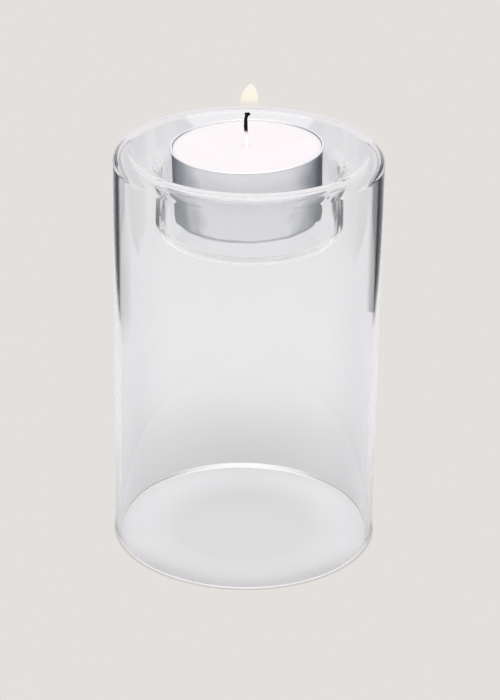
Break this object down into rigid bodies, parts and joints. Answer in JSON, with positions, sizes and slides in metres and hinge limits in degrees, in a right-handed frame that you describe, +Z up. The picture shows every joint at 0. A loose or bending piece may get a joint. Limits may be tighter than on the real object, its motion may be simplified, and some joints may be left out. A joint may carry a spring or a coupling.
{
  "type": "tealight holder",
  "caption": "Clear glass tealight holder: an open-bottomed tube folded in at the top to a recessed cup, holding a tealight whose candle and cup lift out.",
  "frame": {"origin": "centre of the base, on the plane that the glass stands on", "axes": "+Z up along the tube's axis; +X to the right and +Y away from a person who faces the front"},
  "size_m": [0.067, 0.067, 0.1143],
  "materials": {
    "clear_glass": "clear, polished, fire-polished edges",
    "aluminium": "thin drawn sheet, satin",
    "wax": "white paraffin wax, smooth, slightly translucent",
    "charred_cotton": "braided cotton, charred black",
    "tinned_steel": "tinned sheet steel"
  },
  "bodies": {
    "holder": {"glass_holder": "clear_glass"},
    "tealight": {"tealight_cup": "aluminium"},
    "candle": {"wax": "wax", "wick": "charred_cotton", "wick_sustainer": "tinned_steel"}
  },
  "joints": [
    {"name": "tealight_lift", "type": "slide", "parent": "holder", "child": "tealight", "axis": [0, 0, 1], "range_m": [0, 0.03]},
    {"name": "candle_lift", "type": "slide", "parent": "tealight", "child": "candle", "axis": [-0.0297, 0, 0.9996], "range_m": [0, 0.022]}
  ]
}
